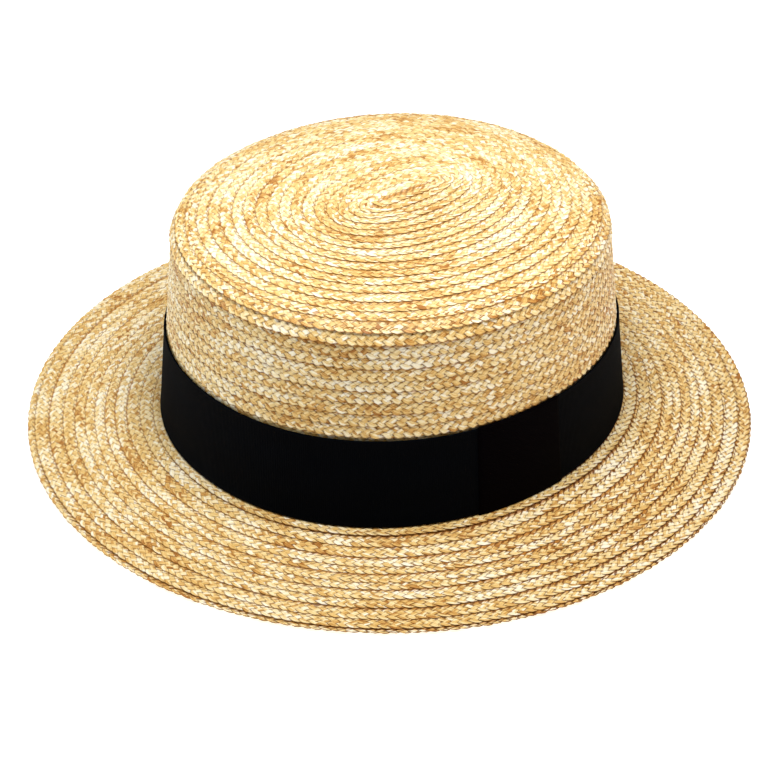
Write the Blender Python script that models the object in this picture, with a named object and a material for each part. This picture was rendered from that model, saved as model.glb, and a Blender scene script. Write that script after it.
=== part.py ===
# Straw boater hat: a stiff crown and brim of sewn straw braid, a ribbon round the foot
# of the crown, and a short loop of the same ribbon over the place where it is joined.
# Units are metres and +Z is up. The front of the hat faces -Y and +X is the wearer's left.
# The origin is on the table, under the middle of the brim.

import math
from collections import namedtuple

import bmesh
import bpy

# Straw
STRAW_THICKNESS = 0.0016   # the wall, measured where one row comes out from under the last
BRAID_EXPOSURE = 0.0049    # how much of each row of braid shows
ROW_STEP = 0.0006          # how far the edge of a row stands above the row that follows

# Crown, outside
CROWN_LENGTH = 0.1926      # front to back, at the foot
CROWN_WIDTH = 0.1830       # side to side, at the foot
CROWN_HEIGHT = 0.0980      # middle of the tip above the table
CROWN_SQUARENESS = 2.07    # 2 would be a plain ellipse
LEAN_AT_ENDS = math.radians(6.0)    # the side leans in at the front and the back
LEAN_AT_SIDES = math.radians(5.0)   # and a little less at the wearer's left and right
SHOULDER_RADIUS = 0.0090
TIP_RISE = 0.0052          # middle of the tip above the place where the shoulder starts
TIP_FULLNESS = 4.4         # a higher power keeps the tip flat for longer
CROWN_BACK = 0.0013        # the crown stands a little off the middle of the brim
CROWN_LEFT = 0.0009

# First run of the braid, in the middle of the tip
START_RUN = 0.0430
START_BACK = 0.0086        # its middle lies behind the middle of the hat
START_LEFT = 0.0013

# Brim
BRIM_LENGTH = 0.2994
BRIM_WIDTH = 0.3020
BRIM_RISE = 0.0049         # underside at the head opening, above the table
BRIM_CURVE = 1.4           # 1 would be a straight cone
BRIM_SQUARENESS = 2.0
REST_WIDTH = 0.0100        # flat ring under the rim, on which the hat rests

# Ribbon
RIBBON_HEIGHT = 0.0380
RIBBON_THICKNESS = 0.0010
KEEPER_WIDTH = 0.0380
KEEPER_THICKNESS = 0.0010
KEEPER_TURN = math.radians(-5.2)    # its middle, from the wearer's left towards the front

CLEARANCE = 0.0003         # between pieces that touch
SEGMENTS = 56              # points round each oval
KEEPER_SEGMENTS = 8
SHARPEST_BEND = math.radians(16.0)  # turn between two sections on the shoulder
SHARP_EDGE = math.radians(35.0)

# Heights and outlines that follow from the sizes above
LEAN = (LEAN_AT_ENDS + LEAN_AT_SIDES) / 2
SEAT_HEIGHT = BRIM_RISE + STRAW_THICKNESS
FOOT_HEIGHT = SEAT_HEIGHT + CLEARANCE
RIBBON_TOP = FOOT_HEIGHT + RIBBON_HEIGHT * math.cos(LEAN)
RIBBON_INSIDE = CLEARANCE
RIBBON_OUTSIDE = RIBBON_INSIDE + RIBBON_THICKNESS
KEEPER_INSIDE = RIBBON_OUTSIDE + CLEARANCE
KEEPER_OUTSIDE = KEEPER_INSIDE + KEEPER_THICKNESS
SEAT_MARGIN = KEEPER_OUTSIDE + CLEARANCE
BRIM_REACH = (BRIM_LENGTH - CROWN_LENGTH + BRIM_WIDTH - CROWN_WIDTH) / 4 - SEAT_MARGIN
FLAT_FROM = 1 - REST_WIDTH / BRIM_REACH    # share of the brim's reach where its flat ring starts

TIP_EDGE_HEIGHT = CROWN_HEIGHT - TIP_RISE
TIP_EDGE_SLOPE = math.atan(
    TIP_FULLNESS * TIP_RISE / ((CROWN_LENGTH + CROWN_WIDTH) / 4 - SHOULDER_RADIUS)
)
SHOULDER_CENTRE = TIP_EDGE_HEIGHT - SHOULDER_RADIUS * math.cos(TIP_EDGE_SLOPE)
SIDE_TOP = SHOULDER_CENTRE + SHOULDER_RADIUS * math.sin(LEAN)
SHOULDER_TURN = math.pi / 2 - LEAN - TIP_EDGE_SLOPE
SHOULDER_REACH = SHOULDER_RADIUS * (math.cos(LEAN) - math.sin(TIP_EDGE_SLOPE))
TIP_HALF_LENGTH = CROWN_LENGTH / 2 - (SIDE_TOP - FOOT_HEIGHT) * math.tan(LEAN_AT_ENDS) - SHOULDER_REACH
TIP_HALF_WIDTH = CROWN_WIDTH / 2 - (SIDE_TOP - FOOT_HEIGHT) * math.tan(LEAN_AT_SIDES) - SHOULDER_REACH

# Lengths along the section, from the middle of the tip to the foot
TIP_RUN = (TIP_HALF_LENGTH + TIP_HALF_WIDTH) / 2
SHOULDER_RUN = SHOULDER_RADIUS * SHOULDER_TURN

# One oval of points. lean_out and lean_up are the parts of the surface's direction there,
# and left and back move the oval's middle.
Oval = namedtuple("Oval", "half_length half_width height squareness lean_out lean_up left back")
Oval.__new__.__defaults__ = (0.0, 1.0, CROWN_LEFT, CROWN_BACK)


def mix(first, last, share):
    return first + (last - first) * share


def moved_out(oval, distance):
    # The same oval on a surface that lies a distance outside, or inside if it is negative.
    return oval._replace(
        half_length=oval.half_length + distance * oval.lean_out,
        half_width=oval.half_width + distance * oval.lean_out,
        height=oval.height + distance * oval.lean_up,
    )


def tip_oval(share):
    # share goes from 0 in the middle of the tip to 1 where the shoulder starts.
    slope = math.atan(TIP_FULLNESS * TIP_RISE * share ** (TIP_FULLNESS - 1) / TIP_RUN)
    return Oval(
        half_length=mix(START_RUN / 2, TIP_HALF_LENGTH, share),
        half_width=TIP_HALF_WIDTH * share,
        height=CROWN_HEIGHT - TIP_RISE * share ** TIP_FULLNESS,
        squareness=CROWN_SQUARENESS,
        lean_out=math.sin(slope),
        lean_up=math.cos(slope),
        left=mix(START_LEFT, CROWN_LEFT, share),
        back=mix(START_BACK, CROWN_BACK, share),
    )


def shoulder_oval(share):
    angle = TIP_EDGE_SLOPE + SHOULDER_TURN * share
    reach = SHOULDER_RADIUS * (math.sin(angle) - math.sin(TIP_EDGE_SLOPE))
    return Oval(
        half_length=TIP_HALF_LENGTH + reach,
        half_width=TIP_HALF_WIDTH + reach,
        height=SHOULDER_CENTRE + SHOULDER_RADIUS * math.cos(angle),
        squareness=CROWN_SQUARENESS,
        lean_out=math.sin(angle),
        lean_up=math.cos(angle),
    )


def side_oval(height, outside=0.0):
    # The straight side at a height above the table, or a level outline that lies outside it.
    rise = height - FOOT_HEIGHT
    return Oval(
        half_length=CROWN_LENGTH / 2 - rise * math.tan(LEAN_AT_ENDS) + outside,
        half_width=CROWN_WIDTH / 2 - rise * math.tan(LEAN_AT_SIDES) + outside,
        height=height,
        squareness=CROWN_SQUARENESS,
        lean_out=math.cos(LEAN),
        lean_up=math.sin(LEAN),
    )


def crown_oval(run):
    # run is the distance along the section from the middle of the tip.
    if run <= TIP_RUN:
        return tip_oval(run / TIP_RUN)
    if run <= TIP_RUN + SHOULDER_RUN:
        return shoulder_oval((run - TIP_RUN) / SHOULDER_RUN)
    return side_oval(SIDE_TOP - (run - TIP_RUN - SHOULDER_RUN) * math.cos(LEAN))


def brim_underside(share):
    # Height of the underside: share goes from 0 at the seat of the crown to 1 at the rim.
    return BRIM_RISE * max(0.0, 1 - share / FLAT_FROM) ** BRIM_CURVE


def brim_oval(share, above=0.0):
    return Oval(
        half_length=mix(CROWN_LENGTH / 2 + SEAT_MARGIN, BRIM_LENGTH / 2, share),
        half_width=mix(CROWN_WIDTH / 2 + SEAT_MARGIN, BRIM_WIDTH / 2, share),
        height=brim_underside(share) + above,
        squareness=mix(CROWN_SQUARENESS, BRIM_SQUARENESS, share),
        left=mix(CROWN_LEFT, 0.0, share),
        back=mix(CROWN_BACK, 0.0, share),
    )


def oval_point(oval, turn):
    power = 2 / oval.squareness
    across = math.copysign(abs(math.cos(turn)) ** power, math.cos(turn))
    along = math.copysign(abs(math.sin(turn)) ** power, math.sin(turn))
    return (
        oval.left + oval.half_width * across,
        oval.back + oval.half_length * along,
        oval.height,
    )


def add_ring(mesh, oval):
    turns = [2 * math.pi * i / SEGMENTS for i in range(SEGMENTS)]
    return [mesh.verts.new(oval_point(oval, turn)) for turn in turns]


def join_rings(mesh, first, second):
    for i in range(len(first)):
        j = (i + 1) % len(first)
        mesh.faces.new((first[i], first[j], second[j], second[i]))


def make_shell(name, ovals, closed, material):
    # A shell through a run of ovals. It closes on itself, or has a flat cap at each end.
    mesh = bmesh.new()
    rings = [add_ring(mesh, oval) for oval in ovals]
    for first, second in zip(rings, rings[1:]):
        join_rings(mesh, first, second)
    if closed:
        join_rings(mesh, rings[-1], rings[0])
    else:
        mesh.faces.new(rings[0])
        mesh.faces.new(rings[-1])
    return make_object(name, mesh, material)


def make_object(name, mesh, material):
    bmesh.ops.recalc_face_normals(mesh, faces=mesh.faces)
    data = bpy.data.meshes.new(name)
    mesh.to_mesh(data)
    mesh.free()
    data.shade_smooth()
    data.set_sharp_from_angle(angle=SHARP_EDGE)
    data.materials.append(material)
    piece = bpy.data.objects.new(name, data)
    piece.parent = HAT
    bpy.context.collection.objects.link(piece)
    return piece


def make_material(name, color, roughness):
    material = bpy.data.materials.new(name)
    material.use_nodes = True
    shader = material.node_tree.nodes["Principled BSDF"]
    shader.inputs["Base Color"].default_value = (*color, 1.0)
    shader.inputs["Roughness"].default_value = roughness
    shader.inputs["Metallic"].default_value = 0.0
    return material


def braid_rows(oval_at, start, end, count):
    # Each row comes out from under the one before it and ends in a small step, so the
    # surface is a row of roof tiles. oval_at gives the plain surface at a distance along it.
    ovals = []
    for row in range(count):
        near = mix(start, end, row / count)
        far = mix(start, end, (row + 1) / count)
        first = oval_at(near)
        last = oval_at(far)
        bend = math.atan2(last.lean_out, last.lean_up) - math.atan2(first.lean_out, first.lean_up)
        parts = max(1, math.ceil(bend / SHARPEST_BEND))
        for part in range(parts + 1):
            share = part / parts
            ovals.append(moved_out(oval_at(mix(near, far, share)), ROW_STEP * share))
    return ovals


def make_crown(material):
    # Rows of braid from the middle of the tip down to the top edge of the ribbon. Below
    # that the side is plain, because the ribbon covers it.
    lowest_row = RIBBON_TOP + CLEARANCE
    rows_run = TIP_RUN + SHOULDER_RUN + (SIDE_TOP - lowest_row) / math.cos(LEAN)
    count = round(rows_run / BRAID_EXPOSURE)
    outside = braid_rows(crown_oval, 0.0, rows_run, count)[1:]
    outside.append(side_oval(lowest_row))
    outside.append(side_oval(FOOT_HEIGHT))
    inside = [side_oval(FOOT_HEIGHT, -STRAW_THICKNESS / math.cos(LEAN))]
    for share in (1.0, 0.75, 0.5, 0.25):
        inside.append(moved_out(shoulder_oval(share), -STRAW_THICKNESS))
    for share in (1.0, 0.9, 0.78, 0.6, 0.4):
        inside.append(moved_out(tip_oval(share), -STRAW_THICKNESS))
    return make_shell("crown", outside + inside, False, material)


def make_brim(material):
    # The crown and the ribbon stand on a flat seat round the head opening, and the rows of
    # braid run from the seat to the rim.
    opening_half_length = CROWN_LENGTH / 2 - STRAW_THICKNESS / math.cos(LEAN)
    opening_half_width = CROWN_WIDTH / 2 - STRAW_THICKNESS / math.cos(LEAN)
    opening = Oval(opening_half_length, opening_half_width, SEAT_HEIGHT, CROWN_SQUARENESS)

    def top_oval(share):
        return brim_oval(share, STRAW_THICKNESS)

    top = braid_rows(top_oval, 0.0, 1.0, round(BRIM_REACH / BRAID_EXPOSURE))
    underside = [brim_oval(1.0)]
    underside += [brim_oval(FLAT_FROM * share) for share in (1.0, 0.75, 0.5, 0.25, 0.0)]
    ovals = [opening] + top + underside + [opening._replace(height=BRIM_RISE)]
    return make_shell("brim", ovals, True, material)


def make_hat_band(material):
    ovals = [
        side_oval(FOOT_HEIGHT, RIBBON_INSIDE),
        side_oval(RIBBON_TOP, RIBBON_INSIDE),
        side_oval(RIBBON_TOP, RIBBON_OUTSIDE),
        side_oval(FOOT_HEIGHT, RIBBON_OUTSIDE),
    ]
    return make_shell("hat_band", ovals, True, material)


def make_band_keeper(material):
    # A plate over the ribbon with a lip that hooks over the ribbon's top edge, close to
    # the straw.
    lip_bottom = RIBBON_TOP + CLEARANCE
    lip_top = lip_bottom + KEEPER_THICKNESS
    lip_inside = ROW_STEP + CLEARANCE
    section = [
        side_oval(FOOT_HEIGHT, KEEPER_INSIDE),
        side_oval(FOOT_HEIGHT, KEEPER_OUTSIDE),
        side_oval(lip_top, KEEPER_OUTSIDE),
        side_oval(lip_top, lip_inside),
        side_oval(lip_bottom, lip_inside),
        side_oval(lip_bottom, KEEPER_INSIDE),
    ]
    sweep = KEEPER_WIDTH / (CROWN_LENGTH / 2)
    mesh = bmesh.new()
    columns = []
    for i in range(KEEPER_SEGMENTS + 1):
        turn = KEEPER_TURN + sweep * (i / KEEPER_SEGMENTS - 0.5)
        columns.append([mesh.verts.new(oval_point(oval, turn)) for oval in section])
    for first, second in zip(columns, columns[1:]):
        join_rings(mesh, first, second)
    mesh.faces.new(columns[0])
    mesh.faces.new(columns[-1])
    return make_object("band_keeper", mesh, material)


for old in list(bpy.data.objects):
    bpy.data.objects.remove(old, do_unlink=True)

HAT = bpy.data.objects.new("boater", None)
bpy.context.collection.objects.link(HAT)

straw = make_material("straw_braid", (0.80, 0.62, 0.36), 0.5)
ribbon = make_material("black_ribbon", (0.008, 0.008, 0.011), 0.75)
make_crown(straw)
make_brim(straw)
make_hat_band(ribbon)
make_band_keeper(ribbon)
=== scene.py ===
import math

import bpy
import numpy as np
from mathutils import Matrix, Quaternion, Vector


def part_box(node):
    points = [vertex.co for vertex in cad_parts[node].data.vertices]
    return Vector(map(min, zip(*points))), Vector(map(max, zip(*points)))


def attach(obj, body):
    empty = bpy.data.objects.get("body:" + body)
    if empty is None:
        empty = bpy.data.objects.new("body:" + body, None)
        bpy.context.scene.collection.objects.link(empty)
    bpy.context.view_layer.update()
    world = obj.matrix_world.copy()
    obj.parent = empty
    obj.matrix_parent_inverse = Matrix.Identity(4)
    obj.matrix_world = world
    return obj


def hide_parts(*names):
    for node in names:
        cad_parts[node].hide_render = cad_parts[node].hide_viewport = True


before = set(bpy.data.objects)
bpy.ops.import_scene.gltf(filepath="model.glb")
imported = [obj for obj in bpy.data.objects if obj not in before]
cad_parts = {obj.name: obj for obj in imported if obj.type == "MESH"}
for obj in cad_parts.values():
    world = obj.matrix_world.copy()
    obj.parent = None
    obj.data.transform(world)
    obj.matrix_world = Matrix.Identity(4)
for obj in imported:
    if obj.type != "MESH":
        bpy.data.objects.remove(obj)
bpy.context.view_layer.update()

# Straw boater hat. Metres, +Z up, the wearer's left at +X, the front at -Y.
# Every row of straw is one plait of five split straws, sewn round and round in one long spiral.

hat = {
    "lean": (math.radians(6.0), math.radians(5.0)),   # front and back, left and right
    "tipTop": 0.0980,
    "shoulderRadius": 0.0090,
    "tipRise": 0.0052,
    "tipFullness": 4.4,
    "crownPower": 2.07,
    "brimPower": 2.0,
    "startRun": 0.0300,          # first straight run of the plait, on the tip
    "startMiddle": (0.0013, 0.0086),
    "strawWall": 0.0016,
    "seatMargin": 0.0029,        # distances on the brim start this far outside the crown's foot
    "brimRise": 0.0049,          # underside of the brim at the head opening
    "brimCurve": 1.4,
    "restWidth": 0.0100,         # flat ring under the rim
}


# Sizes from the frame

crownLow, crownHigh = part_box("crown")
brimLow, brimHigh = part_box("brim")
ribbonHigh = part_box("hat_band")[1]
crownMiddle = ((crownLow.x + crownHigh.x) / 2, (crownLow.y + crownHigh.y) / 2)
footHalf = ((crownHigh.y - crownLow.y) / 2, (crownHigh.x - crownLow.x) / 2)   # length, width
rimHalf = ((brimHigh.y - brimLow.y) / 2, (brimHigh.x - brimLow.x) / 2)
footHeight = crownLow.z
ribbonTop = ribbonHigh.z
tipTop = hat["tipTop"]
lean = sum(hat["lean"]) / 2
tipRunGuess = sum(footHalf) / 2 - hat["shoulderRadius"]
tipSlope = math.atan(hat["tipFullness"] * hat["tipRise"] / tipRunGuess)
shoulderCentre = tipTop - hat["tipRise"] - hat["shoulderRadius"] * math.cos(tipSlope)
sideTop = shoulderCentre + hat["shoulderRadius"] * math.sin(lean)
shoulderTurn = math.pi / 2 - lean - tipSlope
shoulderReach = hat["shoulderRadius"] * (math.cos(lean) - math.sin(tipSlope))
tipHalf = tuple(
    half - (sideTop - footHeight) * math.tan(angle) - shoulderReach
    for half, angle in zip(footHalf, hat["lean"])
)
tipRun = sum(tipHalf) / 2
shoulderRun = hat["shoulderRadius"] * shoulderTurn
sideRun = (sideTop - footHeight) / math.cos(lean)
ribbonRun = tipRun + shoulderRun + (sideTop - ribbonTop) / math.cos(lean)
crownRun = tipRun + shoulderRun + sideRun
seatMargin = hat["seatMargin"]
brimReach = (sum(rimHalf) - sum(footHalf)) / 2 - seatMargin
flatFrom = 1 - hat["restWidth"] / brimReach


# The plain surface of the hat, worked out for many points at once

def ovalPoints(halfLength, halfWidth, height, power, left, back, turn):
    across = np.sign(np.cos(turn)) * np.abs(np.cos(turn)) ** (2 / power)
    along = np.sign(np.sin(turn)) * np.abs(np.sin(turn)) ** (2 / power)
    return np.stack([left + halfWidth * across, back + halfLength * along, height + 0 * turn], axis=-1)


def crownPoints(run, turn):
    # run is the distance from the middle of the tip, over the shoulder and down the side
    onTip = np.clip(run / tipRun, 0, 1)
    onShoulder = np.clip((run - tipRun) / shoulderRun, 0, 1)
    down = np.maximum(run - tipRun - shoulderRun, 0) * math.cos(lean)
    angle = tipSlope + shoulderTurn * onShoulder
    reach = hat["shoulderRadius"] * (np.sin(angle) - math.sin(tipSlope))
    startLeft, startBack = hat["startMiddle"]
    halfLength = hat["startRun"] / 2 + (tipHalf[0] - hat["startRun"] / 2) * onTip
    halfWidth = tipHalf[1] * onTip
    halfLength = halfLength + reach + down * math.tan(hat["lean"][0])
    halfWidth = halfWidth + reach + down * math.tan(hat["lean"][1])
    height = np.where(
        run < tipRun,
        tipTop - hat["tipRise"] * onTip ** hat["tipFullness"],
        shoulderCentre + hat["shoulderRadius"] * np.cos(angle) - down,
    )
    left = startLeft + (crownMiddle[0] - startLeft) * onTip
    back = startBack + (crownMiddle[1] - startBack) * onTip
    return ovalPoints(halfLength, halfWidth, height, hat["crownPower"], left, back, turn)


def brimPoints(distance, turn):
    # distance is measured outwards from the seat of the crown
    share = distance / brimReach
    rise = hat["brimRise"] * np.clip(1 - np.maximum(share, 0) / flatFrom, 0, 1) ** hat["brimCurve"]
    halfLength = footHalf[0] + seatMargin + (rimHalf[0] - footHalf[0] - seatMargin) * share
    halfWidth = footHalf[1] + seatMargin + (rimHalf[1] - footHalf[1] - seatMargin) * share
    power = hat["crownPower"] + (hat["brimPower"] - hat["crownPower"]) * np.clip(share, 0, 1)
    left = crownMiddle[0] * (1 - share)
    back = crownMiddle[1] * (1 - share)
    return ovalPoints(halfLength, halfWidth, rise + hat["strawWall"], power, left, back, turn)


def unit(vectors):
    return vectors / np.maximum(np.linalg.norm(vectors, axis=-1, keepdims=True), 1e-12)


def wobble(turns, seed, size):
    # A slow, uneven wave: a few sines with seeded phases
    rng = np.random.default_rng(seed)
    waves = sum(np.sin(turns * rate + rng.uniform(0, 2 * math.pi)) for rate in (1.3, 2.9, 5.3, 9.7))
    return size * waves / 2


def railData(surface, runs, turns, drop):
    # Points of the plait's middle line, with the directions across the row and off the surface
    small = 0.0002
    points = surface(runs, turns)
    side = unit(surface(runs + small, turns) - surface(runs - small, turns))
    along = unit(np.gradient(points, axis=0))
    up = unit(np.cross(along, side))
    up = np.where(up[:, 2:3] + 2 * (up * unit(points * [1, 1, 0])).sum(-1, keepdims=True) < 0, -up, up)
    side = unit(np.cross(up, along))
    outward = surface(runs + small, turns) - points
    side = np.where((side * outward).sum(-1, keepdims=True) < 0, -side, side)
    tilt = braid["rowStep"] / braid["crownExposure"]
    tiltedSide = unit(side + tilt * up)
    tiltedUp = unit(up - tilt * side)
    lowered = np.reshape(braid["depth"] - braid["rowStep"] / 2 + drop, (-1, 1))
    return points - lowered * up, tiltedSide, tiltedUp


# Helpers for building node trees

def addNode(tree, kind, **settings):
    node = tree.nodes.new(kind)
    for name, value in settings.items():
        setattr(node, name, value)
    return node


def feed(tree, socket, source):
    # A socket takes another node's output or a plain value
    if isinstance(source, bpy.types.NodeSocket):
        tree.links.new(source, socket)
    else:
        socket.default_value = source


def calc(tree, operation, *sources):
    node = addNode(tree, "ShaderNodeMath", operation=operation)
    for socket, source in zip(node.inputs, sources):
        feed(tree, socket, source)
    return node.outputs[0]


def vectorCalc(tree, operation, *sources):
    node = addNode(tree, "ShaderNodeVectorMath", operation=operation)
    sockets = [node.inputs[0], node.inputs["Scale"]] if operation == "SCALE" else node.inputs
    for socket, source in zip(sockets, sources):
        feed(tree, socket, source)
    return node.outputs["Vector"]


def axisOf(tree, vector, axis):
    node = addNode(tree, "ShaderNodeSeparateXYZ")
    feed(tree, node.inputs["Vector"], vector)
    return node.outputs[axis]


def noiseAt(tree, x, y, z=0.0, detail=1.0, dimensions="3D"):
    place = addNode(tree, "ShaderNodeCombineXYZ")
    for socket, source in zip(place.inputs, (x, y, z)):
        feed(tree, socket, source)
    noise = addNode(tree, "ShaderNodeTexNoise", noise_dimensions=dimensions)
    feed(tree, noise.inputs["Vector"], place.outputs["Vector"])
    noise.inputs["Scale"].default_value = 1.0
    noise.inputs["Detail"].default_value = detail
    return noise.outputs["Fac"]


def swingTo(tree, value, size):
    # A 0 to 1 value, centred and scaled
    return calc(tree, "MULTIPLY", calc(tree, "SUBTRACT", value, 0.5), size)


def clamped(tree, value):
    return calc(tree, "MINIMUM", calc(tree, "MAXIMUM", value, 0.0), 1.0)


def namedVector(tree, name):
    node = addNode(tree, "GeometryNodeInputNamedAttribute", data_type="FLOAT_VECTOR")
    node.inputs["Name"].default_value = name
    return node.outputs["Attribute"]


def namedFloat(tree, name):
    node = addNode(tree, "GeometryNodeInputNamedAttribute", data_type="FLOAT")
    node.inputs["Name"].default_value = name
    return node.outputs["Attribute"]


def storeFloat(tree, geometry, name, value):
    node = addNode(tree, "GeometryNodeStoreNamedAttribute", data_type="FLOAT", domain="POINT")
    node.inputs["Name"].default_value = name
    feed(tree, node.inputs["Geometry"], geometry)
    feed(tree, node.inputs["Value"], value)
    return node.outputs["Geometry"]


def newTree(name, inputs):
    tree = bpy.data.node_groups.new(name, "GeometryNodeTree")
    tree.interface.new_socket("Geometry", in_out="INPUT", socket_type="NodeSocketGeometry")
    for title, kind in inputs:
        tree.interface.new_socket(title, in_out="INPUT", socket_type=kind)
    tree.interface.new_socket("Geometry", in_out="OUTPUT", socket_type="NodeSocketGeometry")
    return tree, addNode(tree, "NodeGroupInput").outputs, addNode(tree, "NodeGroupOutput")


def setPosition(tree, geometry, position=None, offset=None):
    node = addNode(tree, "GeometryNodeSetPosition")
    feed(tree, node.inputs["Geometry"], geometry)
    if position is not None:
        feed(tree, node.inputs["Position"], position)
    if offset is not None:
        feed(tree, node.inputs["Offset"], offset)
    return node.outputs["Geometry"]


def closeTree(tree, geometry, material, groupOut):
    # Smooth shading, but edges stay sharp where faces meet at a steep angle
    sharp = addNode(tree, "GeometryNodeSetShadeSmooth", domain="EDGE")
    feed(tree, sharp.inputs["Geometry"], geometry)
    bend = addNode(tree, "GeometryNodeInputMeshEdgeAngle").outputs["Unsigned Angle"]
    feed(tree, sharp.inputs["Shade Smooth"], calc(tree, "LESS_THAN", bend, math.radians(50.0)))
    geometry = sharp.outputs["Geometry"]
    smooth = addNode(tree, "GeometryNodeSetShadeSmooth")
    realize = addNode(tree, "GeometryNodeRealizeInstances")
    paint = addNode(tree, "GeometryNodeSetMaterial")
    feed(tree, smooth.inputs["Geometry"], geometry)
    feed(tree, realize.inputs["Geometry"], smooth.outputs["Geometry"])
    feed(tree, paint.inputs["Geometry"], realize.outputs["Geometry"])
    feed(tree, paint.inputs["Material"], material)
    feed(tree, groupOut.inputs["Geometry"], paint.outputs["Geometry"])


def signedVolume(mesh):
    mesh.calc_loop_triangles()
    corners = np.zeros(len(mesh.loop_triangles) * 3, np.int32)
    mesh.loop_triangles.foreach_get("vertices", corners)
    points = np.zeros(len(mesh.vertices) * 3, np.float32)
    mesh.vertices.foreach_get("co", points)
    a, b, c = points.reshape(-1, 3)[corners.reshape(-1, 3)].transpose(1, 0, 2)
    return float((a * np.cross(b, c)).sum())


def bakeNodes(guide, tree, values, name):
    # Runs the tree on the guide object and keeps the result as a plain mesh
    modifier = guide.modifiers.new(tree.name, "NODES")
    modifier.node_group = tree
    for item in tree.interface.items_tree:
        if item.item_type == "SOCKET" and item.in_out == "INPUT" and item.name in values:
            modifier[item.identifier] = values[item.name]
    depsgraph = bpy.context.evaluated_depsgraph_get()
    mesh = bpy.data.meshes.new_from_object(guide.evaluated_get(depsgraph), depsgraph=depsgraph)
    mesh.name = name
    if signedVolume(mesh) < 0:
        mesh.flip_normals()
    piece = bpy.data.objects.new(name, mesh)
    bpy.context.scene.collection.objects.link(piece)
    bpy.data.objects.remove(guide)
    return piece


def guideLine(name, points, vectors, cyclic=False):
    # A line of vertices that carries a direction or two at each point
    mesh = bpy.data.meshes.new(name)
    count = len(points)
    edges = [(i, i + 1) for i in range(count - 1)] + ([(count - 1, 0)] if cyclic else [])
    mesh.from_pydata(points.tolist(), edges, [])
    for title, values in vectors.items():
        layer = mesh.attributes.new(title, "FLOAT_VECTOR", "POINT")
        layer.data.foreach_set("vector", np.asarray(values, np.float32).ravel())
    guide = bpy.data.objects.new(name, mesh)
    bpy.context.scene.collection.objects.link(guide)
    return guide


def dropAttributes(piece, names):
    for name in names:
        piece.data.attributes.remove(piece.data.attributes[name])


# The plait

braid = {
    "rowStep": 0.00038,          # how far a row's outer edge stands above the next row
    "depth": 0.00050,            # middle of the plait below the plain outer surface
    "strands": 5,
    "plaitLength": 0.0184,       # one full wave of a strand
    "swing": 0.00232,            # how far a strand swings to each side
    "lift": -0.00014,            # how far it dips and rises where strands cross
    "strandWidth": 0.00205,
    "strandThickness": 0.00022,
    "unevenness": 1.1,           # how much the length of the stitches varies
    "unevenRate": 45.0,          # and how quickly, per metre
    "stray": 0.0006,             # how far a strand strays from its wave
    "strayRate": 160.0,
    "step": 0.00108,             # length of one facet of a strand
    "coarseStep": 0.0015,        # under the ribbon
    "pointsPerTurn": 240,
    "crownExposure": 0.0049,     # how much of each row shows on the crown, before it is fitted to the height
    "wander": 0.00022,           # the sewing isn't quite even
    "relief": (0.9, 1.75, 1.25),      # how much the plait stands out on the tip, the side and the brim, and how deep its painted corner shade is
    "notchShade": (0.60, 0.40, 0.75),    # how dark the painted shadows between the folded straws are there
    "shoulderFade": 0.004,       # the change from tip to side begins this far inside the tip's edge
    "brimSwell": 0.28,           # round the brim the relief and the painted notch shadows both rise and fall by this share
    "brimSwellTurn": 0.7,        # and are greatest here, in radians from the wearer's left
    "foldLength": 0.0031,        # from one folded straw to the next along a row's edge
    "overlap": 0.0021,           # least width of a row that lies under its neighbour
    "seed": 11,
}

plaitWidth = 2 * braid["swing"] + braid["strandWidth"]


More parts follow.
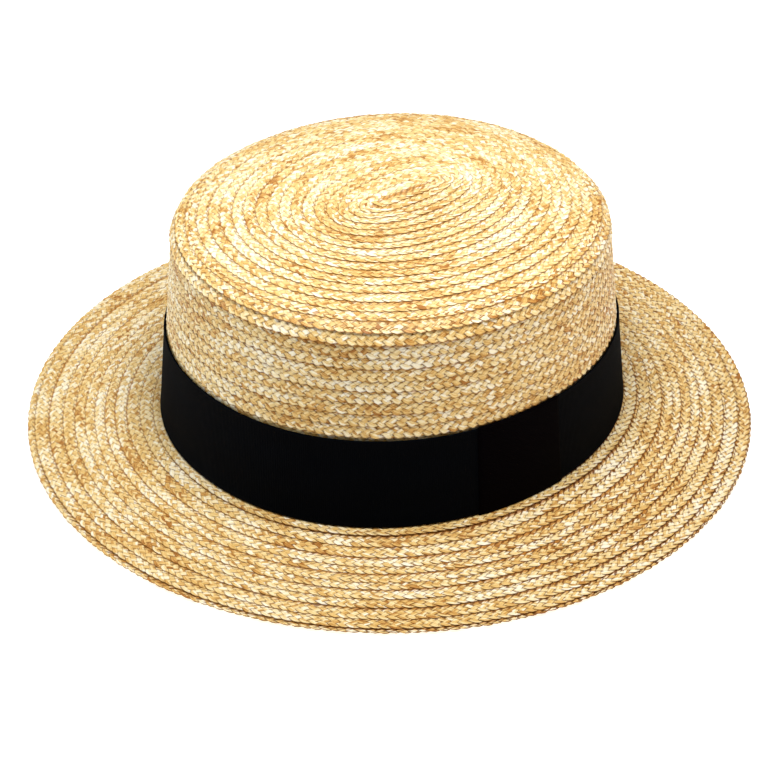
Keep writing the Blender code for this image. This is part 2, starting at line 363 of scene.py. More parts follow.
def plaitTree():
    tree, given, groupOut = newTree("plait", [
        ("Strands", "NodeSocketInt"),
        ("Plait Length", "NodeSocketFloat"),
        ("Swing", "NodeSocketFloat"),
        ("Lift", "NodeSocketFloat"),
        ("Strand Width", "NodeSocketFloat"),
        ("Strand Thickness", "NodeSocketFloat"),
        ("Step", "NodeSocketFloat"),
        ("Unevenness", "NodeSocketFloat"),
        ("Stray", "NodeSocketFloat"),
        ("Seed", "NodeSocketFloat"),
        ("Material", "NodeSocketMaterial"),
    ])
    line = addNode(tree, "GeometryNodeMeshToCurve")
    feed(tree, line.inputs["Mesh"], given["Geometry"])
    resample = addNode(tree, "GeometryNodeResampleCurve")
    resample.mode = "LENGTH"
    feed(tree, resample.inputs["Curve"], line.outputs["Curve"])
    feed(tree, resample.inputs["Length"], given["Step"])
    copies = addNode(tree, "GeometryNodeDuplicateElements", domain="SPLINE")
    feed(tree, copies.inputs["Geometry"], resample.outputs["Curve"])
    feed(tree, copies.inputs["Amount"], given["Strands"])
    index = copies.outputs["Duplicate Index"]
    length = addNode(tree, "GeometryNodeSplineParameter").outputs["Length"]
    waves = calc(tree, "DIVIDE", length, given["Plait Length"])
    share = calc(tree, "DIVIDE", index, given["Strands"])
    wide = namedFloat(tree, "wide")
    uneven = noiseAt(
        tree, calc(tree, "MULTIPLY", length, braid["unevenRate"]), given["Seed"],
        detail=2.0, dimensions="2D",
    )
    uneven = calc(tree, "MULTIPLY", swingTo(tree, uneven, 2.0), given["Unevenness"])
    phase = calc(tree, "MULTIPLY", calc(tree, "ADD", waves, share), 2 * math.pi)
    phase = calc(tree, "ADD", phase, uneven)
    curve = storeFloat(tree, copies.outputs["Geometry"], "along", length)
    curve = storeFloat(tree, curve, "strand", index)
    curve = storeFloat(tree, curve, "phase", phase)
    # each strand strays a little from its wave, in its own way
    ownNoise = calc(tree, "ADD", calc(tree, "MULTIPLY", index, 7.3), given["Seed"])
    loose = noiseAt(tree, calc(tree, "MULTIPLY", length, braid["strayRate"]), ownNoise, dimensions="2D")
    loose = calc(tree, "SUBTRACT", loose, 0.5)
    # the wave runs straighter from edge to edge than a plain sine, and turns more sharply
    bend = calc(tree, "MULTIPLY", calc(tree, "SINE", calc(tree, "MULTIPLY", phase, 3.0)), -0.09)
    bend = calc(tree, "ADD", bend, calc(tree, "MULTIPLY", calc(tree, "SINE", phase), 0.92))
    across = calc(tree, "MULTIPLY", bend, calc(tree, "MULTIPLY", given["Swing"], wide))
    across = calc(tree, "ADD", across, calc(tree, "MULTIPLY", loose, given["Stray"]))
    # on its way across it goes over one strand and under the next
    crossings = calc(tree, "SUBTRACT", given["Strands"], 1.0)
    rise = calc(tree, "SINE", calc(tree, "MULTIPLY", phase, crossings))
    rise = calc(tree, "MULTIPLY", calc(tree, "MULTIPLY", rise, given["Lift"]), namedFloat(tree, "relief"))
    offset = vectorCalc(
        tree, "ADD",
        vectorCalc(tree, "SCALE", namedVector(tree, "side"), across),
        vectorCalc(tree, "SCALE", namedVector(tree, "up"), rise),
    )
    curve = setPosition(tree, curve, offset=offset)
    tangent = addNode(tree, "GeometryNodeInputTangent").outputs["Tangent"]
    leaning = vectorCalc(
        tree, "ADD", namedVector(tree, "up"),
        vectorCalc(tree, "SCALE", namedVector(tree, "side"), calc(tree, "MULTIPLY", loose, 0.5)),
    )
    level = vectorCalc(tree, "CROSS_PRODUCT", tangent, leaning)
    normal = vectorCalc(tree, "NORMALIZE", vectorCalc(tree, "CROSS_PRODUCT", level, tangent))
    turnUp = addNode(tree, "GeometryNodeSetCurveNormal")
    turnUp.mode = "FREE"
    feed(tree, turnUp.inputs["Curve"], curve)
    feed(tree, turnUp.inputs["Normal"], normal)
    radius = addNode(tree, "GeometryNodeSetCurveRadius")
    feed(tree, radius.inputs["Curve"], turnUp.outputs["Curve"])
    feed(tree, radius.inputs["Radius"], wide)
    # a split straw is a flat strip
    strip = addNode(tree, "GeometryNodeCurvePrimitiveQuadrilateral")
    strip.inputs["Width"].default_value = 1.0
    strip.inputs["Height"].default_value = 1.0
    shape = addNode(tree, "ShaderNodeCombineXYZ")
    feed(tree, shape.inputs["X"], given["Strand Thickness"])
    feed(tree, shape.inputs["Y"], given["Strand Width"])
    feed(tree, shape.inputs["Z"], 1.0)
    spot = addNode(tree, "GeometryNodeInputPosition").outputs["Position"]
    profile = storeFloat(tree, strip.outputs["Curve"], "across", axisOf(tree, spot, "Y"))
    profile = storeFloat(tree, profile, "above", axisOf(tree, spot, "X"))
    flattened = vectorCalc(tree, "MULTIPLY", spot, shape.outputs["Vector"])
    profile = setPosition(tree, profile, position=flattened)
    sweep = addNode(tree, "GeometryNodeCurveToMesh")
    feed(tree, sweep.inputs["Curve"], radius.outputs["Curve"])
    feed(tree, sweep.inputs["Profile Curve"], profile)
    feed(tree, sweep.inputs["Fill Caps"], True)
    closeTree(tree, sweep.outputs["Mesh"], given["Material"], groupOut)
    return tree


def spiral(surface, edgeAt, first, last, dropAt=None):
    # Middle line of the plait from one turn to another. edgeAt gives the row's outer edge.
    count = int(abs(last - first) * braid["pointsPerTurn"]) + 2
    turns = np.linspace(first, last, count)
    drop = dropAt(turns) if dropAt else 0.0 * turns
    pitch = edgeAt(turns) - edgeAt(turns - 1)
    wide = np.clip((pitch + braid["overlap"]) / plaitWidth, 1.0, 1.4)
    runs = edgeAt(turns) - wide * plaitWidth / 2 + wobble(turns, braid["seed"], braid["wander"])
    swell = 1 + braid["brimSwell"] * np.cos(turns * 2 * math.pi - braid["brimSwellTurn"])
    shoulder = [tipRun - braid["shoulderFade"], tipRun + shoulderRun]
    looks = []
    for onTip, onSide, onBrim in (braid["relief"], braid["notchShade"]):
        if surface is crownPoints:
            looks.append(np.interp(runs, shoulder, [onTip, onSide]))
        else:
            looks.append(onBrim * swell)
    return *railData(surface, runs, turns * 2 * math.pi, drop), wide, pitch, *looks


def markBeyond(mesh, rail):
    # Stores how far each point lies outside the edge of the row above it, in millimetres. The plait's
    # middle line is found again from each point's distance along it.
    points, side, up, wide, pitch = rail[:5]
    count = len(mesh.vertices)
    place = np.zeros(count * 3, np.float32)
    mesh.vertices.foreach_get("co", place)
    place = place.reshape(-1, 3)
    along = np.zeros(count, np.float32)
    mesh.attributes["along"].data.foreach_get("value", along)
    arc = np.concatenate([[0], np.cumsum(np.linalg.norm(np.diff(points, axis=0), axis=1))])
    middle = np.stack([np.interp(along, arc, points[:, axis]) for axis in range(3)], axis=1)
    across = np.stack([np.interp(along, arc, side[:, axis]) for axis in range(3)], axis=1)
    lateral = ((place - middle) * across).sum(-1)
    beyond = lateral + np.interp(along, arc, pitch - wide * plaitWidth / 2)
    layer = mesh.attributes.new("beyond", "FLOAT", "POINT")
    layer.data.foreach_set("value", (beyond * 1000).astype(np.float32))


def makeBraid(name, node, rail, material, step):
    points, side, up, wide, pitch, relief, notchShade = rail
    guide = guideLine(name + "_guide", points, {"side": side, "up": up})
    for title, values in (("wide", wide), ("relief", relief), ("notchShade", notchShade)):
        layer = guide.data.attributes.new(title, "FLOAT", "POINT")
        layer.data.foreach_set("value", values)
    piece = bakeNodes(guide, plaitNodes, {
        "Strands": braid["strands"],
        "Plait Length": braid["plaitLength"],
        "Swing": braid["swing"],
        "Lift": braid["lift"],
        "Strand Width": braid["strandWidth"],
        "Strand Thickness": braid["strandThickness"],
        "Step": step,
        "Unevenness": braid["unevenness"],
        "Stray": braid["stray"],
        "Seed": float(braid["seed"] + len(points) % 97),
        "Material": material,
    }, name)
    markBeyond(piece.data, rail)
    dropAttributes(piece, ("side", "up", "wide"))
    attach(piece, "root")
    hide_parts(node)
    print(name, len(piece.data.polygons) * 2, "triangles")
    return piece


# Materials

def newMaterial(name):
    material = bpy.data.materials.new(name)
    material.use_nodes = True
    tree = material.node_tree
    return material, tree, tree.nodes["Principled BSDF"]


def attribute(tree, name):
    node = addNode(tree, "ShaderNodeAttribute", attribute_name=name)
    return node.outputs["Fac"]


def ramp(tree, value, stops):
    node = addNode(tree, "ShaderNodeValToRGB")
    while len(node.color_ramp.elements) < len(stops):
        node.color_ramp.elements.new(0.5)
    for element, (place, color) in zip(node.color_ramp.elements, stops):
        element.position = place
        element.color = (*color, 1.0)
    feed(tree, node.inputs["Fac"], value)
    return node.outputs["Color"]


def blend(tree, amount, first, second):
    node = addNode(tree, "ShaderNodeMix", data_type="RGBA")
    feed(tree, node.inputs["Factor"], amount)
    for socket, source in ((node.inputs[6], first), (node.inputs[7], second)):
        feed(tree, socket, source if isinstance(source, bpy.types.NodeSocket) else (*source, 1.0))
    return node.outputs[2]


def addBump(tree, shader, height, strength, distance):
    bump = addNode(tree, "ShaderNodeBump")
    bump.inputs["Strength"].default_value = strength
    bump.inputs["Distance"].default_value = distance
    feed(tree, bump.inputs["Height"], height)
    feed(tree, shader.inputs["Normal"], bump.outputs["Normal"])


straw = {
    "tone": 0.60,                # where the straw lies between its tones, before it varies
    "drift": (24.0, 1.7),        # slow change along a strand: how quickly, per metre, and how much
    "streak": (55.0, 1.5),       # the same for each single straw
    "fibre": (420.0, 0.9),
    "leaf": 0.48,                # each crossing differs by this much
    "seam": 0.10,                # straws are darker where they lie side by side
    "tones": [
        (0.00, (0.34, 0.130, 0.020)),
        (0.20, (0.54, 0.280, 0.066)),
        (0.42, (0.70, 0.460, 0.150)),
        (0.68, (0.80, 0.635, 0.315)),
        (0.98, (0.88, 0.810, 0.630)),
    ],
    # painted shade: the brown that the strands' edges are darkened to, and by how much (edge)
    "edgeShadeColor": (0.42, 0.175, 0.032),
    # painted shadow: the colour of the line under the edge of the row above
    "rowShadowColor": (0.44, 0.170, 0.024),
    # painted shade: the colour of the corners and notches, and how strongly the corners take it
    "cornerShadeColor": (0.15, 0.046, 0.006),
    "edge": 0.50,
    "cornerShade": 0.80,
    "rowShadowEnd": 0.25,             # the painted shadow line at the row above ends here, in millimetres outside its edge
    "notchEnd": 1.25,            # and the painted notch shadows here
    "notchSlant": 0.42,          # they lean by this share of a fold per millimetre
    "roughness": (0.34, 0.24, 0.45),   # least, more with the fibres, more where corners and row lines are painted dark
}


def strawMaterial():
    material, tree, shader = newMaterial("straw_braid")
    along = attribute(tree, "along")
    strand = attribute(tree, "strand")
    across = attribute(tree, "across")
    phase = attribute(tree, "phase")
    beyond = attribute(tree, "beyond")
    # every strand is a few straws side by side, each with its own tone
    straws = calc(tree, "MULTIPLY", calc(tree, "ADD", across, 0.5), 2.0)
    strawNumber = calc(tree, "ADD", calc(tree, "FLOOR", straws), calc(tree, "MULTIPLY", strand, 2.0))
    driftRate, driftSize = straw["drift"]
    drift = noiseAt(
        tree, calc(tree, "MULTIPLY", along, driftRate), calc(tree, "MULTIPLY", strand, 0.22),
        detail=2.0,
    )
    streakRate, streakSize = straw["streak"]
    streak = noiseAt(
        tree, calc(tree, "MULTIPLY", along, streakRate), calc(tree, "MULTIPLY", strawNumber, 9.1),
        4.0, detail=2.0,
    )
    crossings = braid["strands"] - 1.0
    leafNumber = calc(tree, "FLOOR", calc(tree, "MULTIPLY", phase, crossings / math.pi))
    place = addNode(tree, "ShaderNodeCombineXYZ")
    feed(tree, place.inputs["X"], leafNumber)
    feed(tree, place.inputs["Y"], strawNumber)
    leaf = addNode(tree, "ShaderNodeTexWhiteNoise", noise_dimensions="2D")
    feed(tree, leaf.inputs["Vector"], place.outputs["Vector"])
    # fibres run along each straw, and its edges are darker
    fibreRate, fibreSize = straw["fibre"]
    fibre = noiseAt(
        tree, calc(tree, "MULTIPLY", along, fibreRate), calc(tree, "MULTIPLY", across, 6.0),
        calc(tree, "MULTIPLY", strand, 3.7), detail=2.0,
    )
    seam = calc(tree, "ABSOLUTE", calc(tree, "SUBTRACT", calc(tree, "FRACT", straws), 0.5))
    seam = calc(tree, "POWER", calc(tree, "MULTIPLY", seam, 2.0), 6.0)
    tone = calc(tree, "ADD", swingTo(tree, drift, driftSize), straw["tone"])
    tone = calc(tree, "ADD", tone, swingTo(tree, streak, streakSize))
    tone = calc(tree, "ADD", tone, swingTo(tree, leaf.outputs["Value"], straw["leaf"]))
    tone = calc(tree, "ADD", tone, swingTo(tree, fibre, fibreSize))
    tone = calc(tree, "SUBTRACT", tone, calc(tree, "MULTIPLY", seam, straw["seam"]))
    color = ramp(tree, tone, straw["tones"])
    # painted shade: a strand is painted brown towards its edges, for the shade in the creases beside it
    fromMiddle = calc(tree, "MULTIPLY", calc(tree, "ABSOLUTE", across), 2.0)
    edge = calc(tree, "MULTIPLY", calc(tree, "POWER", fromMiddle, 7.0), straw["edge"])
    # painted shade: it is painted dark in the corners where it goes under another strand, where shade falls.
    # What is over on the outside is under on the inside.
    outer = calc(tree, "SIGN", attribute(tree, "above"))
    over = calc(tree, "MULTIPLY", calc(tree, "SINE", calc(tree, "MULTIPLY", phase, crossings)), outer)
    over = calc(tree, "MAXIMUM", calc(tree, "MULTIPLY", over, -1.0), 0.0)
    cornerShade = calc(tree, "MULTIPLY", calc(tree, "POWER", calc(tree, "SUBTRACT", 1.0, over), 1.5),
                  calc(tree, "POWER", fromMiddle, 2.5))
    # the painted corner shade is deeper where the plait stands out more
    depth = calc(tree, "MULTIPLY", attribute(tree, "relief"), straw["cornerShade"])
    cornerShade = calc(tree, "MINIMUM", calc(tree, "MULTIPLY", cornerShade, depth), 1.0)
    # painted shadow: on the outer face a brown line follows the edge of the row above, where that edge casts
    # its shadow
    outer = calc(tree, "MAXIMUM", outer, 0.0)
    rowShadow = calc(tree, "MULTIPLY", calc(tree, "SUBTRACT", straw["rowShadowEnd"], beyond), 2.2)
    rowShadow = calc(tree, "MULTIPLY", clamped(tree, rowShadow), outer)
    # painted shadow: and between the folded straws of that edge there are dark notches, painted where shade
    # falls in the gaps between the folds
    slant = calc(tree, "DIVIDE", along, braid["foldLength"])
    slant = calc(tree, "ADD", slant, calc(tree, "MULTIPLY", beyond, straw["notchSlant"]))
    notchShadow = calc(tree, "MULTIPLY", calc(tree, "COSINE", calc(tree, "MULTIPLY", slant, 2 * math.pi)), 2.2)
    patch = noiseAt(tree, calc(tree, "MULTIPLY", along, 90.0), 3.0, 5.0)
    notchShadow = calc(tree, "ADD", calc(tree, "SUBTRACT", notchShadow, 0.5), swingTo(tree, patch, 3.0))
    reach = calc(tree, "MULTIPLY", calc(tree, "SUBTRACT", straw["notchEnd"], beyond), 2.0)
    notchShadowWeight = calc(tree, "MULTIPLY", attribute(tree, "notchShade"), outer)
    notchShadow = calc(tree, "MULTIPLY", clamped(tree, calc(tree, "MINIMUM", notchShadow, reach)), notchShadowWeight)
    rowShadowAmount = calc(tree, "MULTIPLY", rowShadow, calc(tree, "ADD", calc(tree, "MULTIPLY", notchShadowWeight, 0.35), 0.50))
    cornerShade = calc(tree, "MAXIMUM", cornerShade, notchShadow)
    color = blend(tree, edge, color, straw["edgeShadeColor"])
    color = blend(tree, rowShadowAmount, color, straw["rowShadowColor"])
    color = blend(tree, cornerShade, color, straw["cornerShadeColor"])
    feed(tree, shader.inputs["Base Color"], color)
    shader.inputs["Specular IOR Level"].default_value = 0.25
    least, withFibres, inCorners = straw["roughness"]
    dull = calc(tree, "MULTIPLY", calc(tree, "MAXIMUM", cornerShade, rowShadow), inCorners)
    rough = calc(tree, "ADD", least, calc(tree, "MULTIPLY", fibre, withFibres))
    feed(tree, shader.inputs["Roughness"], calc(tree, "ADD", rough, dull))
    addBump(tree, shader, fibre, 0.7, 0.00018)
    return material


# The rows

crownRows = {
    "firstTurn": -0.25,          # the plait starts at the front end of its first run
    "pastTip": 1.0,              # the tip's mesh goes on for this many turns
    "aboveRibbon": 0.0005,       # the side's mesh ends this far above the edge of the ribbon
    "pressed": 0.0005,           # the ribbon is drawn tight, so the straw lies deeper under it
    "pressTurns": 0.3,
}

# Their outer edges, measured where the camera looks
brimRows = {
    "edges": [-0.0029, 0.0029, 0.0085, 0.0142, 0.0187, 0.0226, 0.0268, 0.0308, 0.0356, 0.0407,
              0.0469, 0.0526],
    "firstTurn": -38.6 / 360,
    "halfTurn": 6.6,             # the outer mesh takes over here
    "rimTurns": 0.45,            # after the last edge the plait reaches the rim in this share of a turn
    "pastRim": 0.0006,
    "lastDrop": 0.00045,         # the last round lies lower, against the table
}

strawFinish = strawMaterial()
plaitNodes = plaitTree()
print("straw and plait ready")

crownExposure = ribbonRun / round(ribbonRun / braid["crownExposure"])
startTurn = crownRows["firstTurn"]
tipLast = startTurn + tipRun / crownExposure + crownRows["pastTip"]
sideLast = startTurn + (ribbonRun - crownRows["aboveRibbon"]) / crownExposure
footLast = startTurn + (crownRun - plaitWidth / 2) / crownExposure
brimStartTurn = brimRows["firstTurn"]
brimHalfTurn = brimStartTurn + brimRows["halfTurn"]
brimLastTurn = brimStartTurn + len(brimRows["edges"]) + brimRows["rimTurns"]


def crownEdge(turns):
    return (turns - startTurn) * crownExposure + plaitWidth / 2


def underRibbon(turns):
    return crownRows["pressed"] * np.clip((turns - sideLast) / crownRows["pressTurns"], 0, 1)


def brimEdge(turns):
    edges = brimRows["edges"]
    table = edges + [brimReach + brimRows["pastRim"]]
    places = list(range(len(edges))) + [len(edges) - 1 + brimRows["rimTurns"]]
    return np.interp(turns - brimStartTurn, places, table)


def brimDrop(turns):
    rounds = turns - brimStartTurn - len(brimRows["edges"]) + 1
    return brimRows["lastDrop"] * np.clip(rounds / brimRows["rimTurns"], 0, 1)


makeBraid("crown_tip_braid", "crown", spiral(crownPoints, crownEdge, startTurn, tipLast),
          strawFinish, braid["step"])
makeBraid("crown_side_braid", "crown", spiral(crownPoints, crownEdge, tipLast, sideLast),
          strawFinish, braid["step"])
makeBraid("crown_foot_braid", "crown", spiral(crownPoints, crownEdge, sideLast, footLast, underRibbon),
          strawFinish, braid["coarseStep"])
makeBraid("brim_inner_braid", "brim", spiral(brimPoints, brimEdge, brimStartTurn, brimHalfTurn),
          strawFinish, braid["step"])
makeBraid("brim_outer_braid", "brim", spiral(brimPoints, brimEdge, brimHalfTurn, brimLastTurn, brimDrop),
          strawFinish, braid["step"])


# Ribbon and keeper: a profile swept round the crown

ribbon = {
    "ribLength": 0.00078,        # one rib of the grosgrain
    "ribDepth": 0.00007,
    "inside": 0.00045,           # off the side of the crown
    "outside": 0.00105,
    "selvage": 0.00013,          # the woven edges are a little thicker
    "pointsPerRib": 4,
    "rounding": 0.00001,         # it is closed, so its ends aren't rounded
    "onEnd": False,
    "color": (0.0008, 0.0010, 0.0014),
    "tint": (0.56, 0.64, 1.0),
    "sheen": 0.0030,
    "roughness": 0.62,
}

keeper = {
    "width": 0.0380,
    "turn": math.radians(-5.2),  # its middle, from the wearer's left towards the front
    "inside": 0.00125,
    "outside": 0.00190,
    "under": 0.0005,             # its turned ends lie this far off the crown
    "overTop": 0.016,            # how far it reaches past the ribbon's edges, as a share of its height
    "ribs": 46,                  # they run across it, because the loop stands on end
    "ribDepth": 0.00006,
    "ribLength": 0.0008,
    "pointsPerRib": 4,
    "columns": 56,
    "rounding": 0.0007,
    "onEnd": True,
    "color": (0.0005, 0.0003, 0.0005),
    "tint": (0.60, 0.42, 0.62),
    "sheen": 0.0003,
    "roughness": 0.70,
}


def grosgrainTree():
    # Fine warp threads over the ribs that the mesh already has, and an uneven depth of black
    tree = bpy.data.node_groups.new("grosgrain", "ShaderNodeTree")
    for title in ("Run", "Cross", "Thread Rate"):
        tree.interface.new_socket(title, in_out="INPUT", socket_type="NodeSocketFloat")
    for title in ("Thread", "Mottle"):
        tree.interface.new_socket(title, in_out="OUTPUT", socket_type="NodeSocketFloat")
    given = addNode(tree, "NodeGroupInput").outputs
    result = addNode(tree, "NodeGroupOutput").inputs
    run, cross = given["Run"], given["Cross"]
    thread = noiseAt(
        tree, calc(tree, "MULTIPLY", run, given["Thread Rate"]), calc(tree, "MULTIPLY", cross, 3600.0),
    )
    patch = noiseAt(tree, calc(tree, "MULTIPLY", run, 60.0), calc(tree, "MULTIPLY", cross, 90.0), detail=2.0)
    mottle = calc(tree, "ADD", calc(tree, "MULTIPLY", thread, 0.7), calc(tree, "MULTIPLY", patch, 0.5))
    feed(tree, result["Thread"], thread)
    feed(tree, result["Mottle"], mottle)
    return tree


def clothMaterial(name, cloth):
    material, tree, shader = newMaterial(name)
    run, cross = attribute(tree, "bandLength"), attribute(tree, "bandHeight")
    if cloth["onEnd"]:
        run, cross = cross, run
    weave = addNode(tree, "ShaderNodeGroup", node_tree=grosgrain)
    feed(tree, weave.inputs["Run"], run)
    feed(tree, weave.inputs["Cross"], cross)
    feed(tree, weave.inputs["Thread Rate"], 1.2 / cloth["ribLength"])
    dark = tuple(c * 0.55 for c in cloth["color"])
    light = tuple(c * 1.6 for c in cloth["color"])
    color = ramp(tree, weave.outputs["Mottle"], [(0.25, dark), (0.95, light)])
    feed(tree, shader.inputs["Base Color"], color)
    shader.inputs["Roughness"].default_value = cloth["roughness"]
    shader.inputs["Specular IOR Level"].default_value = 0.02
    shader.inputs["Sheen Weight"].default_value = cloth["sheen"]
    shader.inputs["Sheen Roughness"].default_value = 0.4
    shader.inputs["Sheen Tint"].default_value = (*cloth["tint"], 1.0)
    shader.inputs["Specular Tint"].default_value = (*cloth["tint"], 1.0)
    addBump(tree, shader, weave.outputs["Thread"], 0.6, 0.00005)
    return material


def bandTree():
    tree, given, groupOut = newTree("band", [
        ("Profile", "NodeSocketObject"),
        ("Columns", "NodeSocketInt"),
        ("Ribs Round", "NodeSocketFloat"),
        ("Ribs Up", "NodeSocketFloat"),
        ("Rib Depth", "NodeSocketFloat"),
        ("Length", "NodeSocketFloat"),
        ("Height", "NodeSocketFloat"),
        ("End Rounding", "NodeSocketFloat"),
        ("Inside", "NodeSocketFloat"),
        ("Material", "NodeSocketMaterial"),
    ])
    line = addNode(tree, "GeometryNodeMeshToCurve")
    feed(tree, line.inputs["Mesh"], given["Geometry"])
    resample = addNode(tree, "GeometryNodeResampleCurve")
    feed(tree, resample.inputs["Curve"], line.outputs["Curve"])
    feed(tree, resample.inputs["Count"], given["Columns"])
    share = addNode(tree, "GeometryNodeSplineParameter").outputs["Factor"]
    curve = storeFloat(tree, resample.outputs["Curve"], "roundShare", share)
    info = addNode(tree, "GeometryNodeObjectInfo")
    feed(tree, info.inputs["Object"], given["Profile"])
    outline = addNode(tree, "GeometryNodeMeshToCurve")
    feed(tree, outline.inputs["Mesh"], info.outputs["Geometry"])
    sweep = addNode(tree, "GeometryNodeCurveToMesh")
    feed(tree, sweep.inputs["Curve"], curve)
    feed(tree, sweep.inputs["Profile Curve"], outline.outputs["Curve"])
    feed(tree, sweep.inputs["Fill Caps"], True)
    around = namedFloat(tree, "roundShare")
    up = namedFloat(tree, "upShare")
    ribs = calc(tree, "ADD", calc(tree, "MULTIPLY", around, given["Ribs Round"]),
                calc(tree, "MULTIPLY", up, given["Ribs Up"]))
    wave = calc(tree, "COSINE", calc(tree, "MULTIPLY", ribs, 2 * math.pi))
    wave = calc(tree, "MULTIPLY", wave, given["Rib Depth"])
    # towards its ends the band thins in a quarter circle
    toEnd = calc(tree, "MINIMUM", around, calc(tree, "SUBTRACT", 1.0, around))
    toEnd = calc(tree, "MULTIPLY", toEnd, given["Length"])
    full = calc(tree, "MINIMUM", calc(tree, "DIVIDE", toEnd, given["End Rounding"]), 1.0)
    full = calc(tree, "SUBTRACT", calc(tree, "MULTIPLY", full, 2.0), calc(tree, "MULTIPLY", full, full))
    full = calc(tree, "SQRT", calc(tree, "MAXIMUM", full, 0.0))
    off = calc(tree, "SUBTRACT", calc(tree, "ADD", namedFloat(tree, "offShare"), wave), given["Inside"])
    off = calc(tree, "ADD", calc(tree, "MULTIPLY", off, full), given["Inside"])
    place = vectorCalc(tree, "ADD", namedVector(tree, "bandFoot"),
                       vectorCalc(tree, "SCALE", namedVector(tree, "climb"), up))
    place = vectorCalc(tree, "ADD", place, vectorCalc(tree, "SCALE", namedVector(tree, "off"), off))
    shaped = setPosition(tree, sweep.outputs["Mesh"], position=place)
    shaped = storeFloat(tree, shaped, "bandLength", calc(tree, "MULTIPLY", around, given["Length"]))
    shaped = storeFloat(tree, shaped, "bandHeight", calc(tree, "MULTIPLY", up, given["Height"]))
    closeTree(tree, shaped, given["Material"], groupOut)
    return tree


def profileObject(name, outline):
    # A closed outline of (distance off the crown, share of the ribbon's height)
    mesh = bpy.data.meshes.new(name)
    count = len(outline)
    points = [(math.cos(2 * math.pi * i / count) * 0.001, math.sin(2 * math.pi * i / count) * 0.001, 0)
              for i in range(count)]
    mesh.from_pydata(points, [(i, (i + 1) % count) for i in range(count)], [])
    for title, column in (("offShare", 0), ("upShare", 1)):
        layer = mesh.attributes.new(title, "FLOAT", "POINT")
        layer.data.foreach_set("value", [row[column] for row in outline])
    profile = bpy.data.objects.new(name, mesh)
    bpy.context.scene.collection.objects.link(profile)
    return profile


def bandLine(name, first, last, count, cyclic):
    # The foot of the crown, with the way up the side and the way off it at each point
    small = 0.001
    turns = np.linspace(first, last, count, endpoint=not cyclic)
    footRun = crownRun + 0 * turns
    foot = crownPoints(footRun, turns)
    top = crownPoints(ribbonRun + 0 * turns, turns)
    climb = top - foot
    along = unit(crownPoints(footRun, turns + small) - crownPoints(footRun, turns - small))
    off = unit(np.cross(along, climb))
    return guideLine(name, foot, {"bandFoot": foot, "climb": climb, "off": off}, cyclic), foot, climb


def makeBand(name, node, line, outline, values):
    guide, foot, climb = line
    profile = profileObject(name + "_profile", outline)
    height = float(np.linalg.norm(climb, axis=1).mean())
    length = float(np.linalg.norm(np.diff(foot, axis=0), axis=1).sum())
    values = {"Profile": profile, "Height": height, "Length": length, **values}
    piece = bakeNodes(guide, bandNodes, values, name)
    bpy.data.objects.remove(profile)
    dropAttributes(piece, ("bandFoot", "climb", "off", "offShare"))
    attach(piece, "root")
    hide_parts(node)
    print(name, len(piece.data.polygons) * 2, "triangles", round(height, 4), round(length, 4))
    return piece, height, length


def ribbonOutline():
    inside, outside = ribbon["inside"], ribbon["outside"]
    bead = outside + ribbon["selvage"]
    front = [
        (outside, 0.0), (bead, 0.006), (bead, 0.022), (outside, 0.030), (outside, 0.26), (outside, 0.5),
        (outside, 0.74), (outside, 0.970), (bead, 0.978), (bead, 0.994), (outside, 1.0),
    ]
    return front + [(inside, 1.0), (inside, 0.5), (inside, 0.0)]


def keeperOutline():
    inside, outside, under = keeper["inside"], keeper["outside"], keeper["under"]
    over = keeper["overTop"]
    folding, folded = outside - 0.0003, outside - 0.0009
    steps = keeper["ribs"] * keeper["pointsPerRib"]
    front = [(outside, share) for share in np.linspace(0.0, 1.0, steps + 1)]
    topFold = [(folding, 1.0 + over * 0.75), (folded, 1.0 + over), (under, 1.0 + over * 0.8)]
    back = [(under, 1.004), (inside, 1.004), (inside, 0.5), (inside, -0.004), (under, -0.004)]
    footFold = [(under, -over * 0.8), (folded, -over), (folding, -over * 0.75)]
    return front + topFold + back + footFold


bandNodes = bandTree()
grosgrain = grosgrainTree()
ribbonFinish = clothMaterial("black_ribbon", ribbon)
keeperFinish = clothMaterial("keeper_ribbon", keeper)
print("ribbon cloth ready")

ribbonLine = bandLine("ribbon_guide", 0.0, 2 * math.pi, 720, True)
ribbonLength = float(np.linalg.norm(np.diff(ribbonLine[1], axis=0), axis=1).sum())
ribCount = round(ribbonLength / ribbon["ribLength"])
ribbonPiece, ribbonWide, ribbonLong = makeBand("hat_ribbon", "hat_band", ribbonLine, ribbonOutline(), {
    "Columns": ribCount * ribbon["pointsPerRib"],
    "Ribs Round": float(ribCount),
    "Ribs Up": 0.0,
    "Rib Depth": ribbon["ribDepth"],
    "End Rounding": ribbon["rounding"],
    "Inside": ribbon["inside"],
    "Material": ribbonFinish,
})

keeperSweep = keeper["width"] / footHalf[0]
keeperFirst = keeper["turn"] - keeperSweep / 2
keeperLast = keeper["turn"] + keeperSweep / 2
keeperLine = bandLine("keeper_guide", keeperFirst, keeperLast, 60, False)
keeperShape = keeperOutline()
keeperPiece, keeperHigh, keeperWide = makeBand("ribbon_keeper", "band_keeper", keeperLine, keeperShape, {
    "Columns": keeper["columns"],
    "Ribs Round": 0.0,
    "Ribs Up": float(keeper["ribs"]),
    "Rib Depth": keeper["ribDepth"],
    "End Rounding": keeper["rounding"],
    "Inside": keeper["inside"],
    "Material": keeperFinish,
})


# Floor, light and camera

stage = {
    "floorHalf": 3.0,
    "floorHeight": -0.0004,      # just clear of the hat
    "paper": (0.90, 0.90, 0.90, 1.0),
    "paperRoughness": 0.9,
    "glow": 0.72,                # the paper glows to stay white
    "glowFrom": 0.138,           # but not nearer to the hat's middle, or it would shine through the straw
    "sky": 0.17,
}

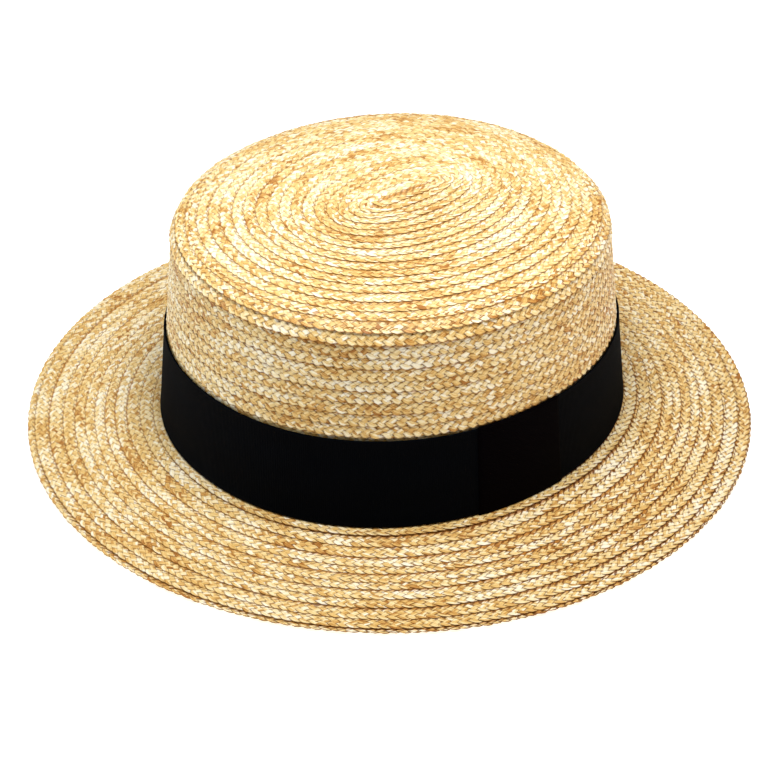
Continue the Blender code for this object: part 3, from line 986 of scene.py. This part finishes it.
# place, target, size in metres, power in watts, colour
lights = {
    "high_light": ((0.08, -0.05, 0.56), (0, 0, 0.08), 0.28, 3.75, (1.0, 1.0, 1.0)),
    "back_light": ((-0.75, 0.60, 0.72), (0, 0, 0.08), 0.9, 1.6, (1.0, 1.0, 1.0)),
    "left_light": ((-1.10, -1.05, 0.22), (0, 0, 0.05), 0.6, 9.2, (0.92, 1.0, 1.0)),
    "right_light": ((1.05, 1.1, 0.22), (0, 0, 0.05), 0.6, 6.8, (1.0, 0.76, 0.44)),
}

cameraView = {
    "place": (0.62107, -0.49552, 0.55046),
    "target": (0.000294, 0.000368, 0.005516),
    "roll": -0.00904,
    "lens": 106.125,
    "sensor": 36.0,
}


def makeFloor():
    mesh = bpy.data.meshes.new("floor")
    half = stage["floorHalf"]
    corners = [(-half, -half, 0), (half, -half, 0), (half, half, 0), (-half, half, 0)]
    mesh.from_pydata(corners, [], [(0, 1, 2, 3)])
    floor = bpy.data.objects.new("floor", mesh)
    floor.location.z = stage["floorHeight"]
    bpy.context.scene.collection.objects.link(floor)
    material, tree, shader = newMaterial("floor_paper")
    shader.inputs["Base Color"].default_value = stage["paper"]
    shader.inputs["Roughness"].default_value = stage["paperRoughness"]
    spot = addNode(tree, "ShaderNodeTexCoord").outputs["Object"]
    squares = [calc(tree, "POWER", axisOf(tree, spot, axis), 2.0) for axis in ("X", "Y")]
    reach = calc(tree, "SQRT", calc(tree, "ADD", *squares))
    feed(tree, shader.inputs["Emission Color"], calc(tree, "GREATER_THAN", reach, stage["glowFrom"]))
    shader.inputs["Emission Strength"].default_value = stage["glow"]
    mesh.materials.append(material)


def makeLight(name, place, target, size, power, color):
    data = bpy.data.lights.new(name, "AREA")
    data.shape = "DISK"
    data.size = size
    data.energy = power
    data.color = color
    light = bpy.data.objects.new(name, data)
    light.location = place
    light.visible_camera = False
    light.rotation_mode = "QUATERNION"
    light.rotation_quaternion = (Vector(target) - Vector(place)).to_track_quat("-Z", "Y")
    bpy.context.scene.collection.objects.link(light)


def makeCamera():
    data = bpy.data.cameras.new("camera")
    data.lens = cameraView["lens"]
    data.sensor_width = cameraView["sensor"]
    data.clip_start = 0.05
    camera = bpy.data.objects.new("camera", data)
    camera.location = cameraView["place"]
    look = Vector(cameraView["target"]) - Vector(cameraView["place"])
    camera.rotation_mode = "QUATERNION"
    camera.rotation_quaternion = look.to_track_quat("-Z", "Y") @ Quaternion((0, 0, 1), cameraView["roll"])
    bpy.context.scene.collection.objects.link(camera)
    bpy.context.scene.camera = camera


makeFloor()
for lightName, lightValues in lights.items():
    makeLight(lightName, *lightValues)
makeCamera()

world = bpy.data.worlds.new("studio")
world.use_nodes = True
world.node_tree.nodes["Background"].inputs["Color"].default_value = (1.0, 1.0, 1.0, 1.0)
world.node_tree.nodes["Background"].inputs["Strength"].default_value = stage["sky"]
bpy.context.scene.world = world
bpy.context.scene.view_settings.view_transform = "Standard"
print("floor, lights and camera ready")
